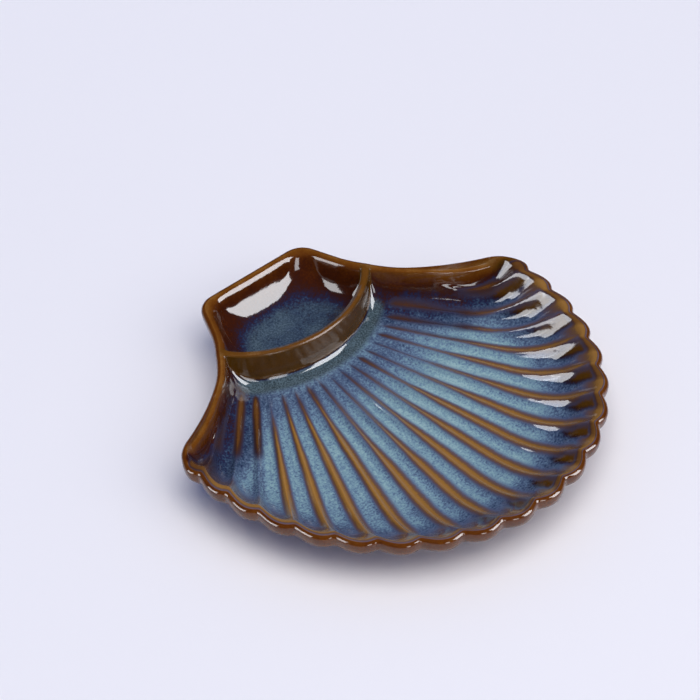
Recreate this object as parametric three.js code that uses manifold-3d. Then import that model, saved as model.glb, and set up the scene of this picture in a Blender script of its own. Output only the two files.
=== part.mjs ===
// Scallop-shell serving platter in glazed stoneware, with a dip compartment at its hinge end.
// Millimetres, +Z up. +X is the right wing, +Y the hinge edge, and the fan spreads towards -Y.
// Plan shapes are drawn about the umbo, the middle of the hinge edge, where the ribs would meet.
// The platter's own origin is the middle of its footprint, on the table.
import * as THREE from "three";
import { mergeVertices } from "three/addons/utils/BufferGeometryUtils.js";
import Module from "manifold-3d";

// Heights and walls
const FOOT_HEIGHT = 2.6; // table to the underside of the dish
const FLOOR_THICKNESS = 6.4; // underside to the crests of the ribs
const WELL_DEPTH = 20.4; // crests of the ribs to the rim
const RIM_THICKNESS = 4.4; // rolled lip all the way round
const LIP_SKIRT = 6; // how far the outside of the lip hangs below its middle
const LIP_WRAP = 145; // degrees that the lip rolls round from its crest to the outer wall

// Fan edge: reach from the umbo, at an angle from the middle rib
const FLUTES = 20;
const FLUTE_PITCH = 5.43; // degrees between two ribs, seen from the umbo
const FRONT_REACH = 217; // umbo to the rim at the middle rib
const REACH_DROP = 69; // how far the edge draws in towards the wings
const REACH_RATE = 1.9; // how soon it draws in
const WING_FLARE = 1; // the last flutes turn out again to the wing tips
const WING_FLARE_SPAN = 9.5; // degrees that the flare takes
const LOBE_BULGE = 3.2; // each flute's scallop past the line of the ribs
const CUSP_ROUND = 1.2; // rounding between two scallops

// Back edge: hinge, ears and hollow sides
const HINGE_LENGTH = 66; // along the crest of the hinge wall, ear to ear
const HINGE_SETBACK = 1.2; // umbo to the crest of the hinge wall
const NECK_REACH = 60.5; // umbo to the necks, where the divider meets the sides
const NECK_TUCK = 2.5; // how far the necks draw in from the line of the last rib's ray
const SIDE_HOLLOW = 4.5; // how far the sides draw in between neck and wing tip
const EAR_ROUND = 7; // rounding of the corners between hinge and sides
const NECK_ROUND = 10; // rounding where a straight ear turns into a hollow side
const TIP_ROUND = 9; // rounding of the wing tips

// Inside walls, slopes in degrees from level
const FRONT_SLOPE = 41; // the fan's wall at the rim, at the middle rib
const WING_SLOPE = 54; // the same at the wing tips
const FRONT_CURVE = 2.4; // how late that wall rises from the floor, at the middle rib
const WING_CURVE = 1.6; // the same at the wing tips
const FRONT_LIP = 2.8; // inner rounding of the rim, at the middle rib
const WING_LIP = 6.5; // the same at the wing tips
const WING_POWER = 1.5; // how late the front turns into the wings
const SIDE_SLOPE = 82; // the hollow sides
const SIDE_FILLET = 16; // where they meet the floor
const DIP_SLOPE = 71; // hinge wall and ear walls of the dip compartment
const DIP_FILLET = 24; // where those meet its floor
const DIP_LIP = 5.5; // inner rounding of the rim there
const DIP_ROUND = 18; // rounding of the compartment's corners in plan, at its floor
const DIP_EASE = 14; // distance from the rim at which the corners are that round

// Ribs and flutes
const FLUTE_DEPTH = 2.4; // rib crest to the bottom of a flute, on the floor
const WING_DEPTH = 4.2; // the same on the wall of the wings
const DEEPEN = [45, 15]; // it gets there between these distances from the rim
const RIB_WIDTH = 1.7; // half width of a rib's rounded crest
const RIB_SHARE = 0.55; // share of the depth that falls at the rib, the rest is a hollow between
const FADE_GAP = 6; // the flutes start this far from the divider
const FADE_LENGTH = 40; // and reach full depth after this
const FRONT_FADE = [8, 23]; // the flutes run out between these distances from the rim, at the middle rib
const WING_FADE = [2.2, 10]; // the same at the wing tips

// Divider and foot
const DIVIDER_BULGE = 20; // how far its arc stands out past the line between the necks
const DIVIDER_TOP = 4.2; // thickness at the top
const DIVIDER_BASE = 5.4; // thickness at the floor
const DIVIDER_DROP = 0.8; // below the rim
const DIVIDER_FILLET = 3.6; // where it meets the floor
const FOOT_LENGTH = 102; // oval foot ring, towards the hinge
const FOOT_WIDTH = 116; // across
const FOOT_CENTRE = 97; // umbo to the middle of the foot ring
const FOOT_LAND = 6; // width of the ring
const FOOT_EDGE = 1.2; // rounding of its lower edges
const SLIP_GAP = 0.3; // joint of slip between two clay pieces

// Facets
const FLUTE_STEPS = [0.035, 0.15, 0.36, 0.64, 0.85, 0.965]; // share of a flute at each column
const END_STEPS = [0.035, 0.5, 1]; // the same for the narrow flutes along the sides, from their rib
const DIP_ROWS = [0, 0.15, 0.32, 0.5, 0.68, 0.85]; // hinge band to divider
const FAN_ROWS = [0, 0.1, 0.22, 0.34, 0.46, 0.58, 0.69, 0.79, 0.88, 0.95, 1]; // divider to rim band
const WALL_ROWS = [0.28, 0.44, 0.57, 0.68, 0.79, 0.9, 1]; // band to rim crest
const LIP_ROWS = 4;
const UNDER_ROWS = [0.08, 0.2, 0.38, 0.65, 1]; // lip to the flat of the underside
const FRONT_BAND = 9; // width of the bands in which the walls rise to the rim
const SIDE_BAND = 8;
const DIP_BAND = 11;
const LEAST_FLUTE = 0.1; // share of a pitch kept between the last rib and the side band
const FLAT_INSET = 26; // hinge and sides to the flat of the underside
const ARC_STEPS = 28; // along the divider
const FOOT_STEPS = 48; // round the foot ring
const CORNER_STEPS = 3; // over a quarter turn
const SETTLE_STEPS = 8; // rounds of moving a point onto the crest

const PITCH = THREE.MathUtils.degToRad(FLUTE_PITCH);
const HALF_ANGLE = (PITCH * FLUTES) / 2;
const LIP_RADIUS = RIM_THICKNESS / 2;
const FLOOR_Z = FOOT_HEIGHT + FLOOR_THICKNESS;
const RIM_Z = FLOOR_Z + WELL_DEPTH;
const SMALL = 1e-3; // step for slopes of a curve

const radians = THREE.MathUtils.degToRad;
const mix = THREE.MathUtils.lerp;
const smooth = (t) => THREE.MathUtils.smoothstep(t, 0, 1);

// Point in plan at a reach from the umbo, angle 0 along the middle rib
const polar = (reach, angle) =>
  new THREE.Vector2(reach * Math.sin(angle), -reach * Math.cos(angle));
const angleOf = (p) => Math.atan2(p.x, -p.y);

// Fan edge without its scallops
function reach(angle) {
  const flare = (Math.abs(angle) - HALF_ANGLE) / radians(WING_FLARE_SPAN) + 1;
  const drop = REACH_DROP * (1 - Math.cos(REACH_RATE * angle));
  return FRONT_REACH - drop + WING_FLARE * smooth(flare);
}

// Distance across a flute to its nearer rib, as a share of half the flute
function ribShare(angle) {
  const turn = Math.abs(angle) / PITCH;
  return 2 * Math.abs(turn - Math.round(turn));
}

// Rim crest along the fan edge, with a scallop for each flute
function crestReach(angle) {
  const base = reach(angle);
  const round = (2 * CUSP_ROUND) / (base * PITCH);
  const share = Math.hypot(ribShare(angle), round) - round;
  const full = Math.hypot(1, round) - round;
  return base + LOBE_BULGE * (1 - (1 - share / full) ** 2);
}

// Outward direction of the plain fan edge in plan
function fanNormal(angle) {
  const slope = (reach(angle + SMALL) - reach(angle - SMALL)) / (2 * SMALL);
  const ahead = polar(reach(angle), angle);
  const across = new THREE.Vector2(Math.cos(angle), Math.sin(angle)).multiplyScalar(slope);
  return ahead.sub(across).normalize();
}

const TIP_REACH = crestReach(HALF_ANGLE);
const EAR = new THREE.Vector2(HINGE_LENGTH / 2, -HINGE_SETBACK);

// Angle of the hollow side edge at a reach from the umbo
function sideAngle(r) {
  const t = THREE.MathUtils.clamp((r - NECK_REACH) / (TIP_REACH - NECK_REACH), 0, 1);
  return HALF_ANGLE - (NECK_TUCK * (1 - t) + SIDE_HOLLOW * 4 * t * (1 - t)) / r;
}
const NECK = polar(NECK_REACH, sideAngle(NECK_REACH));
const EAR_ANGLE = NECK.clone().sub(EAR).angle() - Math.PI; // inside the corner of an ear

// Lesser and greater of two distances, rounded where they meet
function softMin(a, b, round) {
  const near = Math.max(round - Math.abs(a - b), 0) / round;
  return Math.min(a, b) - (near * near * round) / 4;
}
const softMax = (a, b, round) => -softMin(-a, -b, round);

// Distances inside the rim crest, for the hinge, the sides and the fan edge
function hingeDistance(p) {
  return EAR.y - p.y;
}
function earDistance(p) {
  const along = NECK.clone().sub(EAR).normalize();
  const x = Math.abs(p.x) - EAR.x;
  return x * along.y - (p.y - EAR.y) * along.x;
}
function sideDistance(p) {
  const r = p.length();
  return r * (sideAngle(r) - Math.abs(angleOf(p)));
}
function flankDistance(p) {
  return softMax(earDistance(p), sideDistance(p), NECK_ROUND);
}
function backDistance(p) {
  return softMin(hingeDistance(p), flankDistance(p), EAR_ROUND);
}
function fanDistance(p, edge = crestReach) {
  const angle = THREE.MathUtils.clamp(angleOf(p), -HALF_ANGLE, HALF_ANGLE);
  const lean = fanNormal(angle).dot(polar(1, angle));
  return (edge(angle) - p.length()) * lean;
}

// Distance inside the whole crest with its round wing tips, and the same without scallops
const crestDistance = (p) => softMin(backDistance(p), fanDistance(p), TIP_ROUND);
const plainDistance = (p) => softMin(backDistance(p), fanDistance(p, reach), TIP_ROUND);

// Outward direction at a point: the way in which its distance inside falls
function outward(p, distance) {
  const dx = new THREE.Vector2(SMALL, 0);
  const dy = new THREE.Vector2(0, SMALL);
  const x = distance(p.clone().sub(dx)) - distance(p.clone().add(dx));
  const y = distance(p.clone().sub(dy)) - distance(p.clone().add(dy));
  return new THREE.Vector2(x, y).normalize();
}

// Moves a point square to the edge until it lies on the crest
function ontoCrest(p) {
  for (let i = 0; i < SETTLE_STEPS; i++) {
    p.addScaledVector(outward(p, plainDistance), crestDistance(p));
  }
  return p;
}

// Inside surface: the walls leave the rounded lip where their slope is tangent to it
const inside = {
  floor: FLOOR_Z,
  top: RIM_Z,
  widen: 0,
  back: bowlDistance,
  leave: (slope, lip) => ({
    d: lip * Math.sin(slope),
    z: RIM_Z - lip + lip * Math.cos(slope),
  }),
};

// Outside surface: the walls leave the lip where it has rolled round to the outside
const OUTSIDE_LEAVE = {
  d: -LIP_RADIUS * Math.sin(radians(LIP_WRAP)),
  z: RIM_Z - LIP_RADIUS + LIP_SKIRT * Math.cos(radians(LIP_WRAP)),
};
const outside = {
  floor: FOOT_HEIGHT,
  top: OUTSIDE_LEAVE.z,
  widen: RIM_THICKNESS,
  back: backDistance,
  leave: () => OUTSIDE_LEAVE,
};

// Top of a rounded lip at a distance inside its crest
function lipHeight(d, lip) {
  return RIM_Z - lip + Math.sqrt(lip ** 2 - Math.max(d, 0) ** 2);
}

// A straight steep wall with a fillet at its foot
function wallHeight(d, { slope, fillet, lip }, face) {
  const start = face.leave(slope, lip);
  if (d < start.d) return face === inside ? lipHeight(d, lip) : face.top;
  const round = fillet + face.widen;
  const foot = start.d + (start.z - face.floor) / Math.tan(slope);
  const run = round * Math.tan(slope / 2);
  if (d >= foot + run) return face.floor;
  if (d > foot - run * Math.cos(slope)) {
    return face.floor + round - Math.sqrt(round ** 2 - (foot + run - d) ** 2);
  }
  return start.z - (d - start.d) * Math.tan(slope);
}

// The fan's wall changes from the front, share 0, to the wing tips, share 1
function wingShare(angle) {
  return Math.min(1, Math.abs(angle) / HALF_ANGLE) ** WING_POWER;
}
function fanWall(angle) {
  const share = wingShare(angle);
  return {
    slope: radians(mix(FRONT_SLOPE, WING_SLOPE, share)),
    curve: mix(FRONT_CURVE, WING_CURVE, share),
    lip: mix(FRONT_LIP, WING_LIP, share),
  };
}

// That wall is a curve that grows out of the floor and steepens up to the rim
function fanHeight(d, angle, face) {
  const { slope, curve, lip } = fanWall(angle);
  const start = face.leave(slope, lip);
  if (d < start.d) return face === inside ? lipHeight(d, lip) : face.top;
  const t = Math.max(0, 1 - (d - start.d) / fanRun(angle, face));
  return face.floor + (start.z - face.floor) * t ** curve;
}
function fanRun(angle, face) {
  const { slope, curve, lip } = fanWall(angle);
  return (curve * (face.leave(slope, lip).z - face.floor)) / Math.tan(slope);
}

// Divider arc through both necks
const DIVIDER_RADIUS = (NECK.x ** 2 + DIVIDER_BULGE ** 2) / (2 * DIVIDER_BULGE);
const DIVIDER_AXIS = NECK.y - DIVIDER_BULGE + DIVIDER_RADIUS;
function dividerReach(angle) {
  const lean = DIVIDER_AXIS * Math.cos(angle);
  return Math.sqrt(lean ** 2 + DIVIDER_RADIUS ** 2 - DIVIDER_AXIS ** 2) - lean;
}

// Depth of the flutes below the crests of the ribs
function fluteDepth(p, edge) {
  const angle = angleOf(p);
  if (Math.abs(angle) > HALF_ANGLE) return 0;
  const share = ribShare(angle);
  const across = (share * p.length() * PITCH) / 2;
  const rib = 1 - Math.exp(-((across / RIB_WIDTH) ** 2));
  const hollow = 1 - (1 - share) ** 2;
  const start = p.length() - dividerReach(angle) - FADE_GAP;
  const grow = smooth(start / FADE_LENGTH);
  const wing = wingShare(angle);
  const [near, far] = FRONT_FADE.map((front, i) => mix(front, WING_FADE[i], wing));
  const runOut = smooth((edge - near) / (far - near));
  const deepen = smooth((edge - DEEPEN[0]) / (DEEPEN[1] - DEEPEN[0]));
  const depth = mix(FLUTE_DEPTH, WING_DEPTH, wing * deepen);
  return depth * mix(hollow, rib, RIB_SHARE) * grow * runOut;
}

// Height of a face of the dish over a point in plan, at a distance inside the fan edge
function dishHeight(p, face, edge, clearance = 0) {
  const heights = [
    wallHeight(face.back(p) - clearance, backWall(p), face),
    fanHeight(edge, angleOf(p), face),
  ];
  const rise = face.top - face.floor;
  const open = heights.reduce((left, z) => left * (1 - (z - face.floor) / rise), 1);
  return face.floor + rise * (1 - open);
}

// Inside of the dish with its flutes, grown inwards by a clearance
function insideHeight(p, clearance) {
  const edge = fanDistance(p) - clearance;
  return dishHeight(p, inside, edge, clearance) - fluteDepth(p, edge) + clearance;
}

// The back wall is a bowl round the dip compartment and steeper along the sides of the fan
function bowlDistance(p) {
  const round = mix(EAR_ROUND, DIP_ROUND, smooth(backDistance(p) / DIP_EASE));
  return softMin(hingeDistance(p), flankDistance(p), round);
}
function backWall(p) {
  const past = (p.length() - dividerReach(angleOf(p))) / NECK_ROUND;
  const t = smooth(past / 2 + 1 / 2);
  return {
    slope: radians(mix(DIP_SLOPE, SIDE_SLOPE, t)),
    fillet: mix(DIP_FILLET, SIDE_FILLET, t),
    lip: mix(DIP_LIP, LIP_RADIUS, t),
  };
}

// Column angles across the fan, the outer flutes squeezed between the last rib and the side band
function columnAngle(flute, share, r) {
  const last = HALF_ANGLE - PITCH;
  const plain = -HALF_ANGLE + (flute + share) * PITCH;
  if (Math.abs(plain) <= last) return plain;
  const edge = Math.max(sideAngle(r) - SIDE_BAND / r, last + LEAST_FLUTE * PITCH);
  return Math.sign(plain) * mix(last, edge, (Math.abs(plain) - last) / PITCH);
}
const columns = END_STEPS.map((share) => [0, 1 - share]).reverse();
for (let flute = 1; flute < FLUTES - 1; flute++) {
  for (const share of FLUTE_STEPS) columns.push([flute, share]);
}
for (const share of END_STEPS) columns.push([FLUTES - 1, share]);

// Floor net: rows from the hinge band to the divider line, then along the ribs to the rim band
function floorNet() {
  const inset = DIP_BAND + LIP_RADIUS;
  const dipHalf = EAR.x - inset / Math.tan(EAR_ANGLE / 2);
  const rows = [];
  for (const t of DIP_ROWS) {
    rows.push(
      columns.map(([flute, share], i) => {
        const angle = columnAngle(flute, share, NECK_REACH);
        const hinge = new THREE.Vector2(dipHalf * ((2 * i) / (columns.length - 1) - 1), -inset);
        return hinge.lerp(polar(dividerReach(angle), angle), t);
      }),
    );
  }
  for (const t of FAN_ROWS) {
    rows.push(
      columns.map(([flute, share]) => {
        const start = columnAngle(flute, share, NECK_REACH);
        const end = columnAngle(flute, share, TIP_REACH - FRONT_BAND);
        const far = crestReach(end) - FRONT_BAND / fanNormal(end).dot(polar(1, end));
        const r = mix(dividerReach(start), far, t);
        return polar(r, columnAngle(flute, share, r));
      }),
    );
  }
  return rows;
}

// Anticlockwise loop round the outside of a net: front, right side, hinge, left side
function loopOf(net) {
  const last = net.length - 1;
  const right = net[0].length - 1;
  const loop = [...net[last]];
  for (let row = last - 1; row > 0; row--) loop.push(net[row][right]);
  loop.push(...net[0].slice().reverse());
  for (let row = 1; row < last; row++) loop.push(net[row][0]);
  return loop;
}

// Rim crest, outward direction and edge of the flat underside for each point of the loop
function rimStations() {
  const rows = [...DIP_ROWS.map((t) => [t, null]), ...FAN_ROWS.map((t) => [null, t])];
  const net = rows.map(([dip, fan], row) =>
    columns.map(([flute, share], i) => {
      const side = i === 0 ? -1 : i === columns.length - 1 ? 1 : 0;
      const atFront = row === rows.length - 1;
      const across = (2 * i) / (columns.length - 1) - 1;
      if (atFront) return frontStation(-HALF_ANGLE + (flute + share) * PITCH);
      if (row === 0) return backStation(EAR.clone(), EAR_FLAT.clone(), across);
      if (!side) return null;
      if (fan === null) {
        return backStation(EAR.clone().lerp(NECK, dip), EAR_FLAT.clone().lerp(NECK_FLAT, dip), side);
      }
      return backStation(sidePoint(fan), NECK_FLAT.clone().lerp(TIP_FLAT, fan), side);
    }),
  );
  return loopOf(net);
}
function sidePoint(t) {
  const r = mix(NECK_REACH, TIP_REACH, t);
  return polar(r, sideAngle(r));
}
function backStation(start, flat, across) {
  start.x *= across;
  flat.x *= across;
  const crest = ontoCrest(start);
  return { crest, out: outward(crest, plainDistance), flat };
}
function frontStation(angle) {
  const crest = ontoCrest(polar(crestReach(angle), angle));
  const under = (angle * FLAT_ANGLE) / HALF_ANGLE;
  const flat = polar(flatReach(under), under);
  return { crest, out: outward(crest, plainDistance), flat, run: fanRun(under, outside) };
}

// Edge of the flat underside along the fan, and its corners inside tips, necks and ears
function flatReach(angle) {
  const lean = fanNormal(angle).dot(polar(1, angle));
  return reach(angle) - (fanRun(angle, outside) + OUTSIDE_LEAVE.d) / lean;
}
const FLAT_ANGLE = HALF_ANGLE - FLAT_INSET / TIP_REACH;
const TIP_FLAT = polar(flatReach(FLAT_ANGLE), FLAT_ANGLE);
const NECK_FLAT = NECK.clone().addScaledVector(outward(NECK, backDistance), -FLAT_INSET);
const EAR_FLAT = new THREE.Vector2(
  EAR.x - FLAT_INSET / Math.tan(EAR_ANGLE / 2),
  EAR.y - FLAT_INSET,
);

// Joins loops of points into a band of triangles, each loop outside or above the one before
class Solid {
  constructor() {
    this.points = [];
    this.faces = [];
  }
  add(p, z) {
    this.points.push(p.x, p.y, z);
    return this.points.length / 3 - 1;
  }
  at(id) {
    return new THREE.Vector3().fromArray(this.points, 3 * id);
  }
  // Split along its shorter diagonal
  quad(a, b, c, d) {
    const split = this.at(a).distanceTo(this.at(c)) <= this.at(b).distanceTo(this.at(d));
    this.faces.push(...(split ? [a, b, c, a, c, d] : [a, b, d, b, c, d]));
  }
  band(inner, outer) {
    inner.forEach((a, i) => {
      const j = (i + 1) % inner.length;
      this.quad(a, outer[i], outer[j], inner[j]);
    });
  }
  cap(loop, inward) {
    const middle = new THREE.Vector3();
    for (const id of loop) middle.add(this.at(id));
    middle.divideScalar(loop.length);
    const centre = this.add(middle, middle.z);
    loop.forEach((a, i) => {
      const b = loop[(i + 1) % loop.length];
      this.faces.push(centre, inward ? b : a, inward ? a : b);
    });
  }
  geometry() {
    const made = new THREE.BufferGeometry();
    made.setAttribute("position", new THREE.Float32BufferAttribute(this.points, 3));
    made.setIndex(this.faces);
    return made;
  }
}

// The dish: floor net, walls up to the crest, rolled lip, outer walls and flat underside
function dishGeometry(clearance = 0) {
  const dish = new Solid();
  const net = floorNet();
  const ids = net.map((row) => row.map((p) => dish.add(p, insideHeight(p, clearance))));
  for (let row = 0; row + 1 < ids.length; row++) {
    for (let i = 0; i + 1 < columns.length; i++) {
      dish.quad(ids[row][i], ids[row + 1][i], ids[row + 1][i + 1], ids[row][i + 1]);
    }
  }
  const stations = rimStations();
  const base = loopOf(net);
  let ring = loopOf(ids);
  const grow = (place) => {
    const next = stations.map(place);
    dish.band(ring, next);
    ring = next;
  };
  for (const t of WALL_ROWS) {
    grow(({ crest }, i) => {
      const p = base[i].clone().lerp(crest, t);
      return dish.add(p, insideHeight(p, clearance));
    });
  }
  for (let step = 1; step <= LIP_ROWS; step++) {
    const turn = (radians(LIP_WRAP) * step) / LIP_ROWS;
    const tall = Math.cos(turn) > 0 ? LIP_RADIUS : LIP_SKIRT;
    grow(({ crest, out }) => {
      const p = crest.clone().addScaledVector(out, LIP_RADIUS * Math.sin(turn));
      return dish.add(p, RIM_Z - LIP_RADIUS + tall * Math.cos(turn));
    });
  }
  for (const t of UNDER_ROWS) {
    grow(({ crest, out, flat, run }) => {
      const p = crest.clone().addScaledVector(out, -OUTSIDE_LEAVE.d).lerp(flat, t);
      const edge = run ? OUTSIDE_LEAVE.d + t * run : fanDistance(p);
      return dish.add(p, t === 1 ? outside.floor : dishHeight(p, outside, edge));
    });
  }
  dish.cap(ring, true);
  return dish.geometry();
}

// Booleans on closed meshes
const wasm = await Module();
wasm.setup();
function solidOf(geometry) {
  const plain = mergeVertices(geometry);
  return new wasm.Manifold(
    new wasm.Mesh({
      numProp: 3,
      vertProperties: plain.attributes.position.array,
      triVerts: new Uint32Array(plain.index.array),
    }),
  );
}
function geometryOf(solid) {
  const mesh = solid.getMesh();
  const made = new THREE.BufferGeometry();
  made.setAttribute("position", new THREE.BufferAttribute(mesh.vertProperties, 3));
  made.setIndex(new THREE.BufferAttribute(mesh.triVerts, 1));
  return made;
}

// Section of the divider: offset from its arc and height, with filleted feet, a taper and a rounded top
function dividerSection() {
  const half = DIVIDER_TOP / 2;
  const shoulder = RIM_Z - DIVIDER_DROP - half;
  const slope = Math.atan2(shoulder - FLOOR_Z, (DIVIDER_BASE - DIVIDER_TOP) / 2);
  const rest = DIVIDER_BASE / 2 + DIVIDER_FILLET * Math.tan(slope / 2);
  const front = [new THREE.Vector2(rest, FLOOR_Z - FLOOR_THICKNESS / 2)];
  for (let step = 0; step <= CORNER_STEPS; step++) {
    const turn = (slope * step) / CORNER_STEPS;
    const rise = DIVIDER_FILLET * (1 - Math.cos(turn));
    front.push(new THREE.Vector2(rest - DIVIDER_FILLET * Math.sin(turn), FLOOR_Z + rise));
  }
  for (let step = 0; step < CORNER_STEPS; step++) {
    const turn = (Math.PI / 2) * (step / CORNER_STEPS);
    front.push(new THREE.Vector2(half * Math.cos(turn), shoulder + half * Math.sin(turn)));
  }
  const back = front.map(({ x, y }) => new THREE.Vector2(-x, y)).reverse();
  return [...front, new THREE.Vector2(0, shoulder + half), ...back];
}

// The divider: its section swept along the arc, then cut to the inside of the dish.
// The offcuts past the side walls fall away.
function dividerGeometry() {
  const wall = new Solid();
  const section = dividerSection();
  const half = Math.asin(NECK.x / DIVIDER_RADIUS);
  const rings = [];
  for (let step = 0; step <= ARC_STEPS; step++) {
    const turn = half * ((2 * step) / ARC_STEPS - 1);
    const ring = section.map(({ x, y }) => {
      const p = polar(DIVIDER_RADIUS + x, turn);
      return wall.add(p.setY(p.y + DIVIDER_AXIS), y);
    });
    if (step) wall.band(rings[step - 1], ring);
    rings.push(ring);
  }
  wall.cap(rings[0], false);
  wall.cap(rings[ARC_STEPS], true);
  const trimmed = solidOf(wall.geometry()).subtract(solidOf(dishGeometry(SLIP_GAP)));
  const pieces = trimmed.decompose().sort((a, b) => b.volume() - a.volume());
  return geometryOf(pieces[0]);
}

// Foot ring: a flat-topped land with rounded lower edges, round an oval
function footGeometry() {
  const foot = new Solid();
  const top = FOOT_HEIGHT - SLIP_GAP;
  const half = FOOT_LAND / 2;
  const section = [new THREE.Vector2(half, top), new THREE.Vector2(-half, top)];
  for (const side of [-1, 1]) {
    for (let step = 0; step <= CORNER_STEPS; step++) {
      const turn = (Math.PI / 2) * (side < 0 ? step / CORNER_STEPS : 1 - step / CORNER_STEPS);
      const across = half - FOOT_EDGE + FOOT_EDGE * Math.cos(turn);
      section.push(new THREE.Vector2(side * across, FOOT_EDGE * (1 - Math.sin(turn))));
    }
  }
  const rings = [];
  for (let step = 0; step < FOOT_STEPS; step++) {
    const turn = (2 * Math.PI * step) / FOOT_STEPS;
    const place = new THREE.Vector2(
      (FOOT_WIDTH / 2 - half) * Math.cos(turn),
      (FOOT_LENGTH / 2 - half) * Math.sin(turn),
    );
    const out = new THREE.Vector2(Math.cos(turn) / FOOT_WIDTH, Math.sin(turn) / FOOT_LENGTH);
    out.normalize();
    rings.push(
      section.map(({ x, y }) => {
        const p = place.clone().addScaledVector(out, x);
        return foot.add(p.setY(p.y - FOOT_CENTRE), y);
      }),
    );
  }
  rings.forEach((ring, i) => foot.band(ring, rings[(i + 1) % FOOT_STEPS]));
  return foot.geometry();
}

function piece(name, geometry, colour, roughness) {
  const material = new THREE.MeshStandardMaterial({ color: colour, roughness, metalness: 0 });
  geometry.computeVertexNormals();
  const mesh = new THREE.Mesh(geometry, material);
  mesh.name = name;
  return mesh;
}

const shell = new THREE.Group();
shell.add(piece("dish_body", dishGeometry(), 0x5f86a0, 0.12));
shell.add(piece("divider_wall", dividerGeometry(), 0x6b3a0c, 0.12));
shell.add(piece("foot_ring", footGeometry(), 0xb8a58c, 0.85));

// The footprint's middle becomes the origin
const footprint = new THREE.Box3().setFromObject(shell);
shell.position.y = -(footprint.min.y + footprint.max.y) / 2;

const platter = new THREE.Group();
platter.add(shell);
export default platter;
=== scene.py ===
"""Scallop-shell platter in a glossy reactive glaze, with a dip compartment, on a pale studio table."""
import math

import bpy
import numpy as np
from mathutils import Matrix, Vector


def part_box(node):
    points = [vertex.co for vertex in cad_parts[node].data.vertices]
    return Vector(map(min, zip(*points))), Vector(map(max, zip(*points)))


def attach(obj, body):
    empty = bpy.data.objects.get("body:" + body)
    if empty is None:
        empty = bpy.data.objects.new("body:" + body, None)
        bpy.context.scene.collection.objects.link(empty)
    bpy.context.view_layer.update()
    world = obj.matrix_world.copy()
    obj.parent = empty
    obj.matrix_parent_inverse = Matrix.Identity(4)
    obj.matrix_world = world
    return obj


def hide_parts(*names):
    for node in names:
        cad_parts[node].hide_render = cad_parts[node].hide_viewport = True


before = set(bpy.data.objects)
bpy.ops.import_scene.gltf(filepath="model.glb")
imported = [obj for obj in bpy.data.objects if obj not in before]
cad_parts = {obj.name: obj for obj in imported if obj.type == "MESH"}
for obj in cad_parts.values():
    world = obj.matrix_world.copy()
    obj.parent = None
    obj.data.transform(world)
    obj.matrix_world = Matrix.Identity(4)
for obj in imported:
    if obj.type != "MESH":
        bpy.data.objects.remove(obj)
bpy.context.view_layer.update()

# Shape of the platter in millimetres, about the umbo: the middle of the hinge edge, where the ribs
# would meet. +X is the right wing, the fan spreads towards -Y and +Z is up.
MM = 0.001
FOOT_HEIGHT = 2.6
FLOOR_THICKNESS = 6.4
WELL_DEPTH = 20.4
RIM_THICKNESS = 4.4
LIP_SKIRT = 6.0
LIP_WRAP = math.radians(145)
FLUTES = 20
PITCH = math.radians(5.43)
FRONT_REACH = 217.0
REACH_DROP = 69.0
REACH_RATE = 1.9
WING_FLARE = 1.0
WING_FLARE_SPAN = math.radians(9.5)
LOBE_BULGE = 3.2
CUSP_ROUND = 1.2
HINGE_LENGTH = 66.0
HINGE_SETBACK = 1.2
NECK_REACH = 60.5
NECK_TUCK = 2.5
SIDE_HOLLOW = 4.5
EAR_ROUND = 7.0
NECK_ROUND = 10.0
FRONT_SLOPE = math.radians(41)
WING_SLOPE = math.radians(54)
SLOPE_POWER = 1.5
FRONT_CURVE = 2.4
WING_CURVE = 1.6
SIDE_SLOPE = math.radians(82)
SIDE_FILLET = 16.0
FRONT_LIP = 2.8
WING_LIP = 6.5
DIP_SLOPE = math.radians(71)
DIP_FILLET = 24.0
DIP_LIP = 3.6
DIP_ROUND = 18.0
EAR_FILLET = 16.0
DIP_EASE = 14.0
FLUTE_DEPTH = 2.4
WING_DEPTH = 4.2
DEEPEN_FROM = 45.0
DEEPEN_LENGTH = 30.0
RIB_WIDTH = 1.7
RIB_SHARE = 0.55
FADE_GAP = 6.0
FADE_LENGTH = 40.0
FRONT_FADE = (8.0, 23.0)
WING_FADE = (2.2, 10.0)
TIP_ROUND = 9.0
DIVIDER_BULGE = 20.0
DIVIDER_TOP = 4.2
DIVIDER_DROP = 0.8
DIVIDER_SLOPE = math.radians(88)
DIVIDER_FILLET = 5.0
FOOT_LENGTH = 102.0
FOOT_WIDTH = 116.0
FOOT_CENTRE = 97.0
FOOT_LAND = 6.0
FOOT_EDGE = 1.2
SLIP_GAP = 0.3
FLAT_INSET = 26.0

HALF_ANGLE = PITCH * FLUTES / 2
LIP_RADIUS = RIM_THICKNESS / 2
FLOOR_Z = FOOT_HEIGHT + FLOOR_THICKNESS
RIM_Z = FLOOR_Z + WELL_DEPTH
# Step for slopes that are taken from two near points
SMALL = 1e-3


def mix(a, b, t):
    return a + (b - a) * t


def smooth(t):
    t = np.clip(t, 0, 1)
    return t * t * (3 - 2 * t)


def polar(reach, angle):
    """Point in plan at a reach from the umbo, angle 0 along the middle rib."""
    return reach * np.sin(angle), -reach * np.cos(angle)


def angle_of(x, y):
    return np.arctan2(x, -y)


# Fan edge
def fan_reach(angle):
    flare = (np.abs(angle) - HALF_ANGLE) / WING_FLARE_SPAN + 1
    return FRONT_REACH - REACH_DROP * (1 - np.cos(REACH_RATE * angle)) + WING_FLARE * smooth(flare)


def rib_share(angle):
    """Distance across a flute to its nearer rib, as a share of half the flute."""
    turn = np.abs(angle) / PITCH
    return 2 * np.abs(turn - np.round(turn))


def crest_reach(angle):
    base = fan_reach(angle)
    rounding = 2 * CUSP_ROUND / (base * PITCH)
    share = np.hypot(rib_share(angle), rounding) - rounding
    full = np.hypot(1, rounding) - rounding
    return base + LOBE_BULGE * (1 - (1 - share / full) ** 2)


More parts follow.
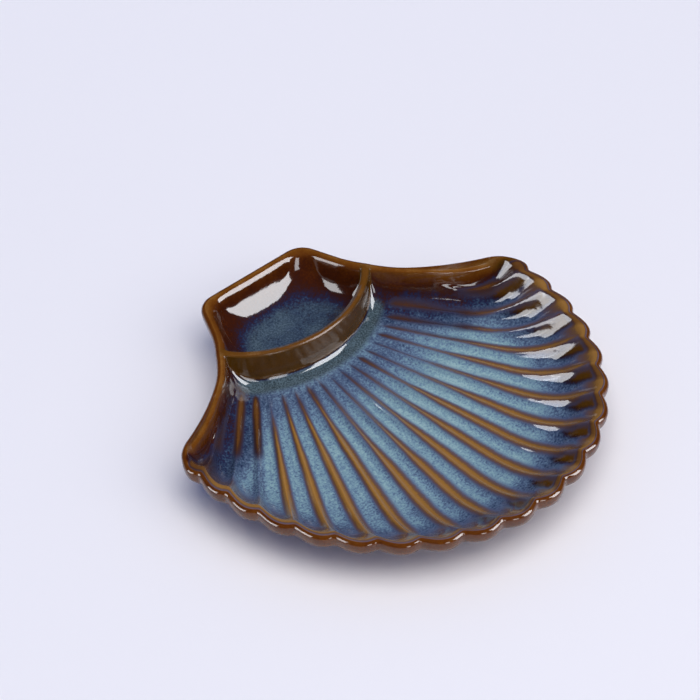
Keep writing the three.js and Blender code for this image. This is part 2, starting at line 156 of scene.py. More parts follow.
def fan_normal(angle):
    """Outward direction of the plain fan edge."""
    slope = (fan_reach(angle + SMALL) - fan_reach(angle - SMALL)) / (2 * SMALL)
    x, y = polar(fan_reach(angle), angle)
    nx = x - slope * np.cos(angle)
    ny = y - slope * np.sin(angle)
    size = np.hypot(nx, ny)
    return nx / size, ny / size


def fan_lean(angle):
    nx, ny = fan_normal(angle)
    x, y = polar(1, angle)
    return nx * x + ny * y


# Back edge
TIP_REACH = crest_reach(HALF_ANGLE)
EAR = np.array([HINGE_LENGTH / 2, -HINGE_SETBACK])


def side_angle(r):
    t = np.clip((r - NECK_REACH) / (TIP_REACH - NECK_REACH), 0, 1)
    return HALF_ANGLE - (NECK_TUCK * (1 - t) + SIDE_HOLLOW * 4 * t * (1 - t)) / r


NECK = np.array(polar(NECK_REACH, side_angle(NECK_REACH)))
EAR_ALONG = (NECK - EAR) / np.hypot(*(NECK - EAR))
EAR_ANGLE = math.pi - math.acos(EAR_ALONG[0])


def soft_min(a, b, rounding):
    near = np.maximum(rounding - np.abs(a - b), 0) / rounding
    return np.minimum(a, b) - near * near * rounding / 4


def hinge_distance(x, y):
    return EAR[1] - y


def flank_distance(x, y):
    ear = (np.abs(x) - EAR[0]) * EAR_ALONG[1] - (y - EAR[1]) * EAR_ALONG[0]
    r = np.hypot(x, y)
    side = r * (side_angle(r) - np.abs(angle_of(x, y)))
    return -soft_min(-ear, -side, NECK_ROUND)


def back_distance(x, y):
    return soft_min(hinge_distance(x, y), flank_distance(x, y), EAR_ROUND)


def fan_distance(x, y, reach=crest_reach):
    angle = np.clip(angle_of(x, y), -HALF_ANGLE, HALF_ANGLE)
    return (reach(angle) - np.hypot(x, y)) * fan_lean(angle)


def back_normal(x, y):
    nx = back_distance(x - SMALL, y) - back_distance(x + SMALL, y)
    ny = back_distance(x, y - SMALL) - back_distance(x, y + SMALL)
    size = np.hypot(nx, ny)
    return nx / size, ny / size


SETTLE_STEPS = 8


def onto_back(x, y):
    """Moves points square to the back edge until they lie on the crest."""
    for _ in range(SETTLE_STEPS):
        nx, ny = back_normal(x, y)
        d = back_distance(x, y)
        x, y = x + nx * d, y + ny * d
    return x, y


# Divider arc through both necks
DIVIDER_RADIUS = (NECK[0] ** 2 + DIVIDER_BULGE ** 2) / (2 * DIVIDER_BULGE)
DIVIDER_AXIS = NECK[1] - DIVIDER_BULGE + DIVIDER_RADIUS


def divider_distance(x, y):
    """Distance from the divider's middle line, positive in front of it."""
    return np.hypot(x, y - DIVIDER_AXIS) - DIVIDER_RADIUS


def divider_reach(angle):
    lean = DIVIDER_AXIS * np.cos(angle)
    return np.sqrt(lean ** 2 + DIVIDER_RADIUS ** 2 - DIVIDER_AXIS ** 2) - lean


def edge_distance(x, y, reach=crest_reach):
    """Distance inside the whole crest, with round wing tips."""
    return soft_min(back_distance(x, y), fan_distance(x, y, reach), TIP_ROUND)


def outward(x, y, reach=fan_reach):
    nx = edge_distance(x - SMALL, y, reach) - edge_distance(x + SMALL, y, reach)
    ny = edge_distance(x, y - SMALL, reach) - edge_distance(x, y + SMALL, reach)
    size = np.hypot(nx, ny)
    return nx / size, ny / size


def onto_crest(x, y):
    """Moves points near a wing tip onto its round crest."""
    for _ in range(SETTLE_STEPS):
        nx, ny = outward(x, y)
        d = edge_distance(x, y)
        x, y = x + nx * d, y + ny * d
    return x, y


# Heights
OUT_D = -LIP_RADIUS * math.sin(LIP_WRAP)
OUT_Z = RIM_Z - LIP_RADIUS + LIP_SKIRT * math.cos(LIP_WRAP)


def crest_height(d, radius, top):
    return top - radius + np.sqrt(np.maximum(radius ** 2 - np.maximum(d, 0) ** 2, 0))


def leave_lip(slope, radius=LIP_RADIUS, top=RIM_Z):
    """Where a wall of that slope leaves a rounded crest."""
    return radius * np.sin(slope), top - radius + radius * np.cos(slope)


def straight_wall(d, slope, fillet, start, floor):
    """A straight wall with a fillet at its foot."""
    start_d, start_z = start
    foot = start_d + (start_z - floor) / np.tan(slope)
    run = fillet * np.tan(slope / 2)
    round_foot = floor + fillet - np.sqrt(np.maximum(fillet ** 2 - (foot + run - d) ** 2, 0))
    z = np.where(d > foot - run * np.cos(slope), round_foot, start_z - (d - start_d) * np.tan(slope))
    return np.where(d >= foot + run, floor, z)


def inner_wall(d, slope, fillet, radius=LIP_RADIUS, top=RIM_Z):
    start = leave_lip(slope, radius, top)
    z = straight_wall(d, slope, fillet, start, FLOOR_Z)
    return np.where(d < start[0], crest_height(d, radius, top), z)


def outer_wall(d, slope, fillet):
    z = straight_wall(d, slope, fillet + RIM_THICKNESS, (OUT_D, OUT_Z), FOOT_HEIGHT)
    return np.where(d < OUT_D, OUT_Z, z)


def wing_share(angle):
    """0 at the front of the fan, 1 at its wing tips."""
    return np.minimum(1, np.abs(angle) / HALF_ANGLE) ** SLOPE_POWER


def fan_slope(angle):
    return mix(FRONT_SLOPE, WING_SLOPE, wing_share(angle))


def fan_curve(angle):
    return mix(FRONT_CURVE, WING_CURVE, wing_share(angle))


def fan_run(angle, drop):
    return fan_curve(angle) * drop / np.tan(fan_slope(angle))


def fan_wall(d, angle, start, floor):
    """The fan's wall, a curve that grows out of the floor and steepens up to the rim."""
    start_d, start_z = start
    t = np.clip(1 - (d - start_d) / fan_run(angle, start_z - floor), 0, 1)
    return floor + (start_z - floor) * t ** fan_curve(angle)


def bowl_distance(x, y):
    """Distance inside the back edge, its corners rounder further down the wall."""
    rounding = mix(EAR_ROUND, DIP_ROUND, smooth(back_distance(x, y) / DIP_EASE))
    return soft_min(hinge_distance(x, y), flank_distance(x, y), rounding)


def back_wall(x, y):
    """Slope, fillet and lip of the back wall: a bowl round the compartment, steeper along the fan's sides."""
    past = (np.hypot(x, y) - divider_reach(angle_of(x, y))) / NECK_ROUND
    t = smooth(past / 2 + 0.5)
    return mix(DIP_SLOPE, SIDE_SLOPE, t), mix(DIP_FILLET, SIDE_FILLET, t), mix(DIP_LIP, LIP_RADIUS, t)


def bowl_wall(x, y):
    """The back wall's inside, which turns to the floor more tightly below the ears."""
    slope, fillet, lip = back_wall(x, y)
    ear = smooth((hinge_distance(x, y) - flank_distance(x, y)) / DIP_ROUND / 2 + 0.5)
    behind = smooth(0.5 - divider_distance(x, y) / NECK_ROUND / 2)
    return slope, mix(fillet, EAR_FILLET, ear * behind), lip


def join_heights(heights, floor, top):
    """Walls that meet: the space left open shrinks by each wall's share."""
    left = 1
    for z in heights:
        left = left * (1 - np.clip((z - floor) / (top - floor), 0, 1))
    return floor + (top - floor) * (1 - left)


def flute_depth(x, y, edge):
    angle = angle_of(x, y)
    r = np.hypot(x, y)
    share = rib_share(angle)
    across = share * r * PITCH / 2
    rib = 1 - np.exp(-(across / RIB_WIDTH) ** 2)
    hollow = 1 - (1 - share) ** 2
    grow = smooth((r - divider_reach(angle) - FADE_GAP) / FADE_LENGTH)
    wing = wing_share(angle)
    near, far = (mix(a, b, wing) for a, b in zip(FRONT_FADE, WING_FADE))
    run_out = smooth((edge - near) / (far - near))
    deep = mix(FLUTE_DEPTH, WING_DEPTH, wing * smooth((DEEPEN_FROM - edge) / DEEPEN_LENGTH))
    depth = deep * mix(hollow, rib, RIB_SHARE) * grow * run_out
    return np.where(np.abs(angle) > HALF_ANGLE, 0, depth)


def inside_height(x, y):
    edge = fan_distance(x, y)
    angle = angle_of(x, y)
    lip = mix(FRONT_LIP, WING_LIP, wing_share(angle))
    start = leave_lip(fan_slope(angle), lip)
    fan = np.where(edge < start[0], crest_height(edge, lip, RIM_Z), fan_wall(edge, angle, start, FLOOR_Z))
    back = inner_wall(bowl_distance(x, y), *bowl_wall(x, y))
    off_divider = np.abs(divider_distance(x, y))
    divider_z = RIM_Z - DIVIDER_DROP
    divider = inner_wall(off_divider, DIVIDER_SLOPE, DIVIDER_FILLET, DIVIDER_TOP / 2, divider_z)
    return join_heights([back, fan, divider], FLOOR_Z, RIM_Z) - flute_depth(x, y, edge)


def outside_height(x, y, edge):
    heights = [
        outer_wall(back_distance(x, y), *back_wall(x, y)[:2]),
        fan_wall(edge, angle_of(x, y), (OUT_D, OUT_Z), FOOT_HEIGHT),
    ]
    return join_heights(heights, FOOT_HEIGHT, OUT_Z)


# Net of the inside: rows run from side crest to side crest, columns from the hinge to the fan edge
SIDE_BAND = 9.0
HALF_COLUMNS = 230
LIP_LINES = 8
WALL_LINES = 10
FILLET_LINES = 9
TOP_LINES = 14
ROW_SPACING = 1.3
DIP_SPACING = 0.9
END_PULL = 4
BISECTIONS = 50
DIVIDER_FACE = DIVIDER_TOP / 2 * math.sin(DIVIDER_SLOPE)
DIVIDER_FOOT = DIVIDER_FACE + (WELL_DEPTH - DIVIDER_DROP) / math.tan(DIVIDER_SLOPE)
DIVIDER_REST = DIVIDER_FOOT + DIVIDER_FILLET * math.tan(DIVIDER_SLOPE / 2)


def lip_lines(slope, count=LIP_LINES):
    """Distances from a crest that step evenly round its rolled lip."""
    return LIP_RADIUS * np.sin(np.linspace(0, slope, count + 1))


def arc_point(offset, turn):
    r = DIVIDER_RADIUS + offset
    return r * np.sin(turn), DIVIDER_AXIS - r * np.cos(turn)


def arc_end(offset):
    """Turn at which an arc beside the divider meets the right-hand crest."""
    low = np.zeros_like(offset)
    high = np.full_like(offset, math.pi / 2)
    for _ in range(BISECTIONS):
        turn = (low + high) / 2
        inside = back_distance(*arc_point(offset, turn)) > 0
        low = np.where(inside, turn, low)
        high = np.where(inside, high, turn)
    return low


def side_columns(half_width):
    """Places across a row, -1 to 1, crowded on the steep walls at both ends."""
    foot = LIP_RADIUS * math.sin(SIDE_SLOPE) + WELL_DEPTH / math.tan(SIDE_SLOPE)
    offsets = np.concatenate([
        lip_lines(SIDE_SLOPE),
        np.linspace(LIP_RADIUS * math.sin(SIDE_SLOPE), foot, WALL_LINES)[1:],
        np.linspace(foot, SIDE_BAND, FILLET_LINES)[1:-1],
    ])
    wall = 1 - offsets[None, :] / half_width[:, None]
    edge = 1 - SIDE_BAND / half_width[:, None]
    middle = edge * np.linspace(-1, 1, 2 * HALF_COLUMNS + 1)[None, :]
    return np.concatenate([-wall, middle, wall[:, ::-1]], axis=1)


def patch(places, t, top, bottom, side):
    """Rows between two curves, pulled onto the side curve towards their ends."""
    t = t[:, None]
    top_x, top_y = top(places)
    low_x, low_y = bottom(places)
    one = np.ones(1)
    ends = [mix(a, b, t) for a, b in zip(top(one), bottom(one))]
    side_x, side_y = side(t)
    x = mix(top_x, low_x, t) + (side_x - ends[0]) * places * np.abs(places) ** (END_PULL - 1)
    y = mix(top_y, low_y, t) + (side_y - ends[1]) * places ** END_PULL
    return x, y


def net():
    """Plan points of the whole inside and, for each row, its distance from the divider's middle line."""
    back_turn, front_turn = arc_end(np.array([-DIVIDER_REST, DIVIDER_REST]))
    back_end = np.array(arc_point(-DIVIDER_REST, back_turn))
    front_end = np.array(arc_point(DIVIDER_REST, front_turn))

    def hinge(c):
        return onto_back(EAR[0] * c, np.full_like(c, EAR[1]))

    def back_arc(c):
        return arc_point(-DIVIDER_REST, back_turn * c)

    def front_arc(c):
        return arc_point(DIVIDER_REST, front_turn * c)

    def fan(c):
        return onto_crest(*polar(crest_reach(HALF_ANGLE * c), HALF_ANGLE * c))

    def ear_side(t):
        return onto_back(mix(EAR[0], back_end[0], t), mix(EAR[1], back_end[1], t))

    def fan_side(t):
        r = mix(np.hypot(*front_end), TIP_REACH, t)
        return onto_crest(*onto_back(*polar(r, side_angle(r))))

    depth = EAR[1] - (DIVIDER_AXIS - DIVIDER_RADIUS) - DIVIDER_REST
    lip = lip_lines(DIP_SLOPE)
    t = np.concatenate([lip, np.linspace(lip[-1], depth, int(depth / DIP_SPACING))[1:-1]]) / depth
    width = mix(EAR[0], back_end[0], t)
    rows = [patch(side_columns(width), t, hinge, back_arc, ear_side)]

    face = np.linspace(DIVIDER_FACE, DIVIDER_FOOT, WALL_LINES)
    foot = np.linspace(DIVIDER_FOOT, DIVIDER_REST, FILLET_LINES + 1)[1:]
    top = DIVIDER_FACE * np.sin(np.linspace(-math.pi / 2, math.pi / 2, TOP_LINES + 1))
    offsets = np.concatenate([-foot[::-1], -face[:0:-1], top, face[1:], foot])
    turns = arc_end(offsets)
    width = (DIVIDER_RADIUS + offsets) * turns
    rows.append(arc_point(offsets[:, None], side_columns(width) * turns[:, None]))

    depth = FRONT_REACH - (DIVIDER_RADIUS - DIVIDER_AXIS + DIVIDER_REST)
    lip = lip_lines(FRONT_SLOPE)
    lines = np.concatenate([lip, np.linspace(lip[-1], depth, int(depth / ROW_SPACING))[1:-1]])
    t = 1 - lines[::-1] / depth
    width = np.abs(fan_side(t)[0])
    rows.append(patch(side_columns(width), t, front_arc, fan, fan_side))

    x = np.concatenate([r[0] for r in rows])
    y = np.concatenate([r[1] for r in rows])
    band = np.concatenate([np.full(len(rows[0][0]), -np.inf), offsets, np.full(len(rows[2][0]), np.inf)])
    return x, y, band


def loop_of(table):
    """Anticlockwise loop round a table of values: front, right side, hinge, left side."""
    return np.concatenate([table[-1], table[-2:0:-1, -1], table[0, ::-1], table[1:-1, 0]])


# Loops that carry on from the crest: rolled lip, outer wall and underside
LIP_LOOPS = 12
UNDER_LOOPS = 20
CAP_LOOPS = 5
UNDER_CROWD = 1.5


def flat_reach(angle):
    return fan_reach(angle) - (fan_run(angle, OUT_Z - FOOT_HEIGHT) + OUT_D) / fan_lean(angle)


FLAT_ANGLE = HALF_ANGLE - FLAT_INSET / TIP_REACH
TIP_FLAT = np.array(polar(flat_reach(FLAT_ANGLE), FLAT_ANGLE))
NECK_FLAT = NECK - FLAT_INSET * np.array(back_normal(*NECK))
EAR_FLAT = EAR - FLAT_INSET * np.array([1 / math.tan(EAR_ANGLE / 2), 1])


def rim_stations(x, y, band):
    """For the loop of the crest: outward direction, edge of the flat underside, and the fan's run there."""
    rows, columns = x.shape
    across = np.linspace(-1, 1, columns)
    out_x, out_y = outward(x, y)
    under = angle_of(x[-1], y[-1]) * FLAT_ANGLE / HALF_ANGLE
    flat = np.zeros((rows, columns, 2))
    run = np.zeros((rows, columns))
    flat[-1] = np.stack(polar(flat_reach(under), under), -1)
    run[-1] = fan_run(under, OUT_Z - FOOT_HEIGHT)
    flat[0] = np.stack([EAR_FLAT[0] * across, np.full(columns, EAR_FLAT[1])], -1)
    neck = int(np.argmin(np.abs(band)))
    for end, sign in ((0, -1), (-1, 1)):
        mirror = np.array([sign, 1])
        for row in range(1, rows - 1):
            if row <= neck:
                flat[row, end] = mirror * mix(EAR_FLAT, NECK_FLAT, row / neck)
            else:
                flat[row, end] = mirror * mix(NECK_FLAT, TIP_FLAT, (row - neck) / (rows - 1 - neck))
    return loop_of(out_x), loop_of(out_y), loop_of(flat), loop_of(run)


class Surface:
    """Points and four-sided faces, gathered as arrays."""

    def __init__(self):
        self.points = []
        self.faces = []
        self.size = 0

    def add(self, x, y, z):
        """Adds points in any array shape and returns their numbers in that shape."""
        x, y, z = np.broadcast_arrays(x, y, z)
        self.points.append(np.stack([x, y, z], -1).reshape(-1, 3))
        ids = np.arange(self.size, self.size + x.size).reshape(x.shape)
        self.size += x.size
        return ids

    def table(self, ids):
        faces = np.stack([ids[:-1, :-1], ids[1:, :-1], ids[1:, 1:], ids[:-1, 1:]], -1)
        self.faces.append(faces.reshape(-1, 4))

    def band(self, inner, outer):
        self.faces.append(np.stack([inner, outer, np.roll(outer, -1), np.roll(inner, -1)], -1))

    def cap(self, ring, hub):
        """Closes a ring to one point with faces that span two steps of the ring."""
        faces = np.stack([ring, np.full(ring.shape, hub), np.roll(ring, -2), np.roll(ring, -1)], -1)
        self.faces.append(faces[::2])


def build_shell():
    """The whole glazed skin, the numbers of its inside points, and each row's distance from the divider."""
    skin = Surface()
    x, y, band = net()
    z = inside_height(x, y)
    ids = skin.add(x, y, z)
    skin.table(ids)
    out_x, out_y, flat, run = rim_stations(x, y, band)
    crest_x, crest_y, ring = loop_of(x), loop_of(y), loop_of(ids)
    for turn in np.linspace(0, LIP_WRAP, LIP_LOOPS + 1)[1:]:
        tall = LIP_RADIUS if math.cos(turn) > 0 else LIP_SKIRT
        reach = LIP_RADIUS * math.sin(turn)
        height = RIM_Z - LIP_RADIUS + tall * math.cos(turn)
        lip = skin.add(crest_x + out_x * reach, crest_y + out_y * reach, height)
        skin.band(ring, lip)
        ring = lip
    for t in np.linspace(0, 1, UNDER_LOOPS + 1)[1:] ** UNDER_CROWD:
        px = mix(crest_x - out_x * OUT_D, flat[:, 0], t)
        py = mix(crest_y - out_y * OUT_D, flat[:, 1], t)
        edge = np.where(run > 0, OUT_D + t * run, fan_distance(px, py))
        height = outside_height(px, py, edge) if t < 1 else FOOT_HEIGHT
        under = skin.add(px, py, height)
        skin.band(ring, under)
        ring = under
    middle = flat.mean(0)
    for t in np.linspace(1, 0, CAP_LOOPS + 2)[1:-1]:
        inner = skin.add(mix(middle[0], flat[:, 0], t), mix(middle[1], flat[:, 1], t), FOOT_HEIGHT)
        skin.band(ring, inner)
        ring = inner
    hub = skin.add(middle[:1], middle[1:], np.array([FOOT_HEIGHT]))
    skin.cap(ring, hub[0])
    return skin, ids, band


# Glaze level: 0 is run thin to bare amber, 1 lies thick and pale blue.
# Each curve gives the level at distances in millimetres from an edge.
HINGE_LEVELS = (
    (-2, 0.12), (0, 0.10), (2.5, 0.17), (4.5, 0.29),
    (8.5, 0.36), (11.5, 0.46), (14, 0.53), (20, 0.61),
)
SIDE_LEVELS = (
    (-2, 0.11), (0, 0.09), (2.5, 0.15), (3.6, 0.36), (5, 0.46),
    (8, 0.51), (13, 0.57), (20, 0.65), (38, 1),
)
FAN_LEVELS = (
    (-2, 0.13), (-0.5, 0.09), (0.5, 0.07), (2.5, 0.60), (14, 0.66),
    (20, 0.69), (24, 0.70), (28, 0.76), (40, 1),
)
DIVIDER_BACK_LEVELS = ((2.7, 0.34), (6, 0.40), (10, 0.46), (16, 0.58), (24, 0.68))
DIVIDER_FRONT_LEVELS = (
    (8, 0.76), (11, 0.75), (14, 0.72), (20, 0.70),
    (24, 0.715), (34, 0.78), (50, 0.88), (60, 1),
)
# How far the glaze has run off below the fan edge
FAN_BARE = (
    (-0.5, 0), (0.8, 0.70), (2, 0.82), (3.2, 0.72), (4.5, 0.60),
    (6, 0.50), (8, 0.42), (10, 0.30), (12.5, 0.15), (15, 0),
)
# Reach at which each rib turns amber, from the sixth on the left to the sixth on the right
RIB_STARTS = (106, 94, 96, 93, 118, 122, 112, 115, 102, 118, 125, 104, 112)
OUTER_RIB = 6
# Width of the soft edge round the divider's face
WALL_EDGE = 0.8
# Radius at which drips are counted round the compartment, and how far its middle lies from the umbo
DIP_RADIUS = 40
DIP_MIDDLE = 28


def level_at(distance, curve):
    return np.interp(distance, *zip(*curve))


def rises(value, start, length):
    """A share that grows from 0 at a start to 1 at a length past it."""
    return smooth((value - start) / length)


def falls(value, end, length):
    """A share that shrinks from 1 to 0 over the length before an end."""
    return smooth((end - value) / length)


class Places:
    """Where the points of the skin lie: distances in millimetres, turns in degrees, ribs by number."""

    def __init__(self, points, inside_count):
        x, y = points[:, 0], points[:, 1]
        angle = angle_of(x, y)
        self.reach = np.hypot(x, y)
        self.turn = np.degrees(angle)
        self.number = angle / PITCH
        self.beside = self.number - np.round(self.number)
        self.share = rib_share(angle)
        self.edge = fan_distance(x, y)
        self.side = flank_distance(x, y)
        self.back = bowl_distance(x, y)
        self.front = divider_distance(x, y)
        self.inside = np.arange(len(x)) < inside_count
        self.in_fan = self.inside & (self.front > 0)
        self.round_dip = DIP_RADIUS * np.arctan2(x, y + DIP_MIDDLE)
        self.wall = falls(np.abs(self.front), DIVIDER_FOOT + WALL_EDGE, WALL_EDGE)


# Below, a pair is the span over which a share rises or falls: its start or its end, and its length.
# Middle of a rib, as a share of half a flute, and the left ribs, whose ends stay covered
RIB_CORE = 0.3
LEFT_RIBS = (-4, 2)


def rib_end(at):
    """Share of a rib's middle, all but the left ribs."""
    return np.exp(-(at.share / RIB_CORE) ** 2) * rises(at.number, *LEFT_RIBS)


# Olive brown left of a rib: its width in flutes, how fast it tapers, its soft edges, and where it lies
END_WIDTH = 0.60
END_TAPER = 0.013
END_LEFT_EDGE = 0.24
END_RIGHT_EDGE = (0.06, 0.14)
END_FLUTES = (-3, 3)
END_LENGTH = (22, 12)


def flute_end(at):
    """Share of the olive brown that tapers in from the rim, left of all but the left ribs."""
    width = END_WIDTH - END_TAPER * at.edge
    across = falls(at.beside, *END_RIGHT_EDGE) * rises(at.beside, -width, END_LEFT_EDGE)
    return across * rises(at.number, *END_FLUTES) * falls(at.edge, *END_LENGTH)


# Level of the flutes' floor, and what it loses to the left, towards the rim, on the wings and beside a rib
FLOOR_LEVEL = 0.95
LEFT_LOSS = 0.05
LEFT_HALF = (6, 14)
FAR_LEFT = (-12, 14)
RIM_LOSS = 0.06
RIM_REACH = (120, 60)
LEFT_WING_LOSS = 0.27
RIGHT_WING_LOSS = 0.22
RIGHT_WING_CLEARS = 0.7
WING_TURN = (34, 10)
WING_REACH = (98, 20)
RIB_LOSS = 0.10
RIB_FOOT = (0.40, 0.25)


def floor_level(at):
    """Level on the floor of the flutes."""
    left = at.turn < 0
    level = FLOOR_LEVEL - LEFT_LOSS * (falls(at.turn, *LEFT_HALF) + falls(at.turn, *FAR_LEFT))
    level = level - RIM_LOSS * rises(at.reach, *RIM_REACH)
    clears = np.where(left, 1.0, RIGHT_WING_CLEARS) * rises(at.reach, *WING_REACH)
    wing = rises(np.abs(at.turn), *WING_TURN) * (1 - clears)
    level = level - np.where(left, LEFT_WING_LOSS, RIGHT_WING_LOSS) * wing
    return level - RIB_LOSS * falls(np.abs(at.beside), *RIB_FOOT)


# What the left wing gains along its rim, and the levels at the ribs' ends and the flutes' ends
LEFT_RIM_GAIN = 0.08
LEFT_WING = (-30, 8)
LEFT_RIM = (3, 4)
RIB_END_LEVEL = 0.13
RIB_END_LENGTH = (17, 8)
FLUTE_END_LEVEL = 0.29


def fan_level(at, brown):
    """Level in the fan: that of the floor, or of the nearest edge where it is thinner."""
    gain = LEFT_RIM_GAIN * falls(at.turn, *LEFT_WING) * rises(at.edge, *LEFT_RIM)
    rim = np.minimum(level_at(at.side, SIDE_LEVELS), level_at(at.edge, FAN_LEVELS) + gain)
    level = np.minimum(np.minimum(floor_level(at), level_at(at.front, DIVIDER_FRONT_LEVELS)), rim)
    level = mix(level, np.minimum(level, RIB_END_LEVEL), rib_end(at) * falls(at.edge, *RIB_END_LENGTH))
    return mix(level, np.minimum(level, FLUTE_END_LEVEL), brown)


# Levels on the divider's face and top, and outside
FACE_LEVEL = 0.30
TOP_LEVEL = 0.15
OUTSIDE_LEVEL = 0.19


def glaze_level(at, brown):
    dip = np.minimum(level_at(at.back, HINGE_LEVELS), level_at(-at.front, DIVIDER_BACK_LEVELS))
    level = np.where(at.front > 0, fan_level(at, brown), dip)
    on_top = falls(np.abs(at.front), DIVIDER_FACE, WALL_EDGE)
    level = np.minimum(level, mix(level, mix(FACE_LEVEL, TOP_LEVEL, on_top), at.wall))
    return np.where(at.inside, level, OUTSIDE_LEVEL)


# How bare a rib is where it turns amber and at the most, and how fast that grows with each millimetre of
# reach: for the left ribs and the others up to amber, and then for all
AMBER = 0.74
BAREST = 0.93
LEFT_GROWTH = 0.017
GROWTH = 0.0085
LATE_GROWTH = 0.008
# How bare the wings' ribs are, what they lose or gain further out, and how they fade about their middle
LEFT_WING_BARE = 0.86
LEFT_WING_FADE = 0.5
LEFT_WING_OUT = (102, 20)
RIGHT_WING_BARE = 0.56
RIGHT_WING_GAIN = 0.55
RIGHT_WING_OUT = (104, 22)
WING_FADE_RATE = 0.006
WING_MIDDLE = 82
# Share of it that is left at the rim, and where ribs start beside the flanks and in front of the divider
LEFT_AT_RIM = 0.55
BELOW_RIM = (3, 12)
OFF_FLANK = (3, 4)
OFF_DIVIDER = (8, 9)


def rib_bareness(at):
    """How bare a rib is: a violet streak up to about 0.5, amber from 0.75."""
    number = np.round(at.number)
    start = np.interp(number, np.arange(-OUTER_RIB, OUTER_RIB + 1), RIB_STARTS)
    growth = mix(LEFT_GROWTH, GROWTH, rises(number, *LEFT_RIBS))
    bare = AMBER + np.where(at.reach < start, growth, LATE_GROWTH) * (at.reach - start)
    left_wing = LEFT_WING_BARE - LEFT_WING_FADE * rises(at.reach, *LEFT_WING_OUT)
    right_wing = RIGHT_WING_BARE + RIGHT_WING_GAIN * rises(at.reach, *RIGHT_WING_OUT)
    on_wing = np.where(number < 0, left_wing, right_wing) - WING_FADE_RATE * np.abs(at.reach - WING_MIDDLE)
    bare = np.clip(mix(bare, on_wing, rises(np.abs(number), OUTER_RIB, 1)), 0, BAREST)
    bare = np.where(at.in_fan, bare * rises(at.side, *OFF_FLANK), 0)
    return bare * mix(LEFT_AT_RIM, 1, rises(at.edge, *BELOW_RIM)) * rises(at.front, *OFF_DIVIDER)


# The bare band along the fan edge: how it widens to the left, and how far ribs and flutes' ends cover it
WIDE_BAND = 0.55
WIDE_RIBS = (2, 3)
RIB_COVER = 0.6
RIB_COVER_START = (1, 4)
RIB_COVER_END = (17, 10)
END_COVER = 0.95
END_COVER_START = (1.5, 5)
BAND_OFF_FLANK = (4, 3)


def edge_bareness(at, brown):
    """How far the glaze has run off along the fan edge, in a wider band towards the left."""
    bare = level_at(at.edge * mix(1, WIDE_BAND, falls(at.number, *WIDE_RIBS)), FAN_BARE)
    on_rib = RIB_COVER * rib_end(at) * falls(at.edge, *RIB_COVER_END) * rises(at.edge, *RIB_COVER_START)
    bare = bare * (1 - on_rib) * rises(at.side, *BAND_OFF_FLANK)
    bare = bare * (1 - END_COVER * brown * rises(at.edge, *END_COVER_START))
    return np.where(at.in_fan, bare, 0)


# Where rust gives way to amber, off the flanks and out along the ribs, and its share at the flutes' ends
RUST_OFF_FLANK = (9, 16)
RUST_REACH = (62, 40)
WING_RIBS = (5.8, 1)
WING_RUST_REACH = (112, 18)
END_RUST = 0.8


def rust_share(at, brown):
    """Rust in place of amber: beside the divider and the flanks, on the wings and at the flutes' ends."""
    near = 1 - rises(at.side, *RUST_OFF_FLANK) * rises(at.reach, *RUST_REACH)
    wing = rises(np.abs(at.number), *WING_RIBS) * (1 - rises(at.reach, *WING_RUST_REACH))
    return np.maximum(np.maximum(near, wing), END_RUST * brown)


# Where the glaze pools: in front of the divider's foot, and its share in the compartment
POOL_START = (DIVIDER_FOOT + 0.4, 0.8)
POOL_END = (15, 9)
POOL_OFF_FLANK = (5, 7)
DIP_POOL = 0.5
DIP_POOL_START = (11, 7)


def pool_share(at):
    """Dotted green glaze that pools along the divider's foot, and thinly in the compartment."""
    along = rises(at.front, *POOL_START) * falls(at.front, *POOL_END) * rises(at.side, *POOL_OFF_FLANK)
    return np.where(at.front > 0, along, DIP_POOL * rises(at.back, *DIP_POOL_START)) * at.inside


# Where drips start below the rim and end, and their share and end in the compartment
DRIP_START = (2, 2)
DRIP_END = (20, 10)
DIP_DRIPS = 0.5
DIP_DRIP_END = (15, 6)


def drip_places(at):
    """Place along and down the walls, and how strongly the glaze drips there."""
    below = np.minimum(at.back, at.edge)
    strength = rises(below, *DRIP_START) * falls(at.back, *DRIP_END) * (1 - at.wall)
    strength = np.where(at.front > 0, strength, DIP_DRIPS * strength * falls(at.back, *DIP_DRIP_END))
    along = np.where(at.front > 0, at.reach, at.round_dip)
    return np.stack([along, at.back, np.where(at.inside, strength, 0)], -1)


# Painted shading: how far a rib's amber is moved to the right of its crest, on all but the left ribs
RIB_SHADE_SHIFT = 0.11
SHADE_SHIFT_RIBS = (-4.5, 3)


def glaze_values(points, inside_count):
    """Shares that the glaze's shader reads, at each point."""
    at = Places(points, inside_count)
    brown = flute_end(at)
    # Painted shading: a rib's amber is moved right of its crest
    lean = RIB_SHADE_SHIFT * rises(at.number, *SHADE_SHIFT_RIBS)
    olive = np.where(at.in_fan, np.maximum(at.wall, brown), at.wall)
    return {
        # The third value of flow is that painted shading shift
        "flow": np.stack([at.number, at.reach, lean], -1),
        "drips": drip_places(at),
        "level": glaze_level(at, brown),
        "rib": rib_bareness(at),
        "bare": edge_bareness(at, brown),
        "rust": rust_share(at, brown),
        "pool": pool_share(at),
        "olive": np.where(at.inside, olive, 0),
    }


def vertex_normals(points, faces):
    a, b, c, d = (points[faces[:, k]] for k in range(4))
    flat = np.cross(c - a, d - b)
    normals = np.zeros_like(points)
    for k in range(4):
        np.add.at(normals, faces[:, k], flat)
    return normals / np.maximum(np.linalg.norm(normals, axis=1, keepdims=True), 1e-12)


UMBO_Y = (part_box("dish_body")[1].y / MM) - (LIP_RADIUS + EAR[1])


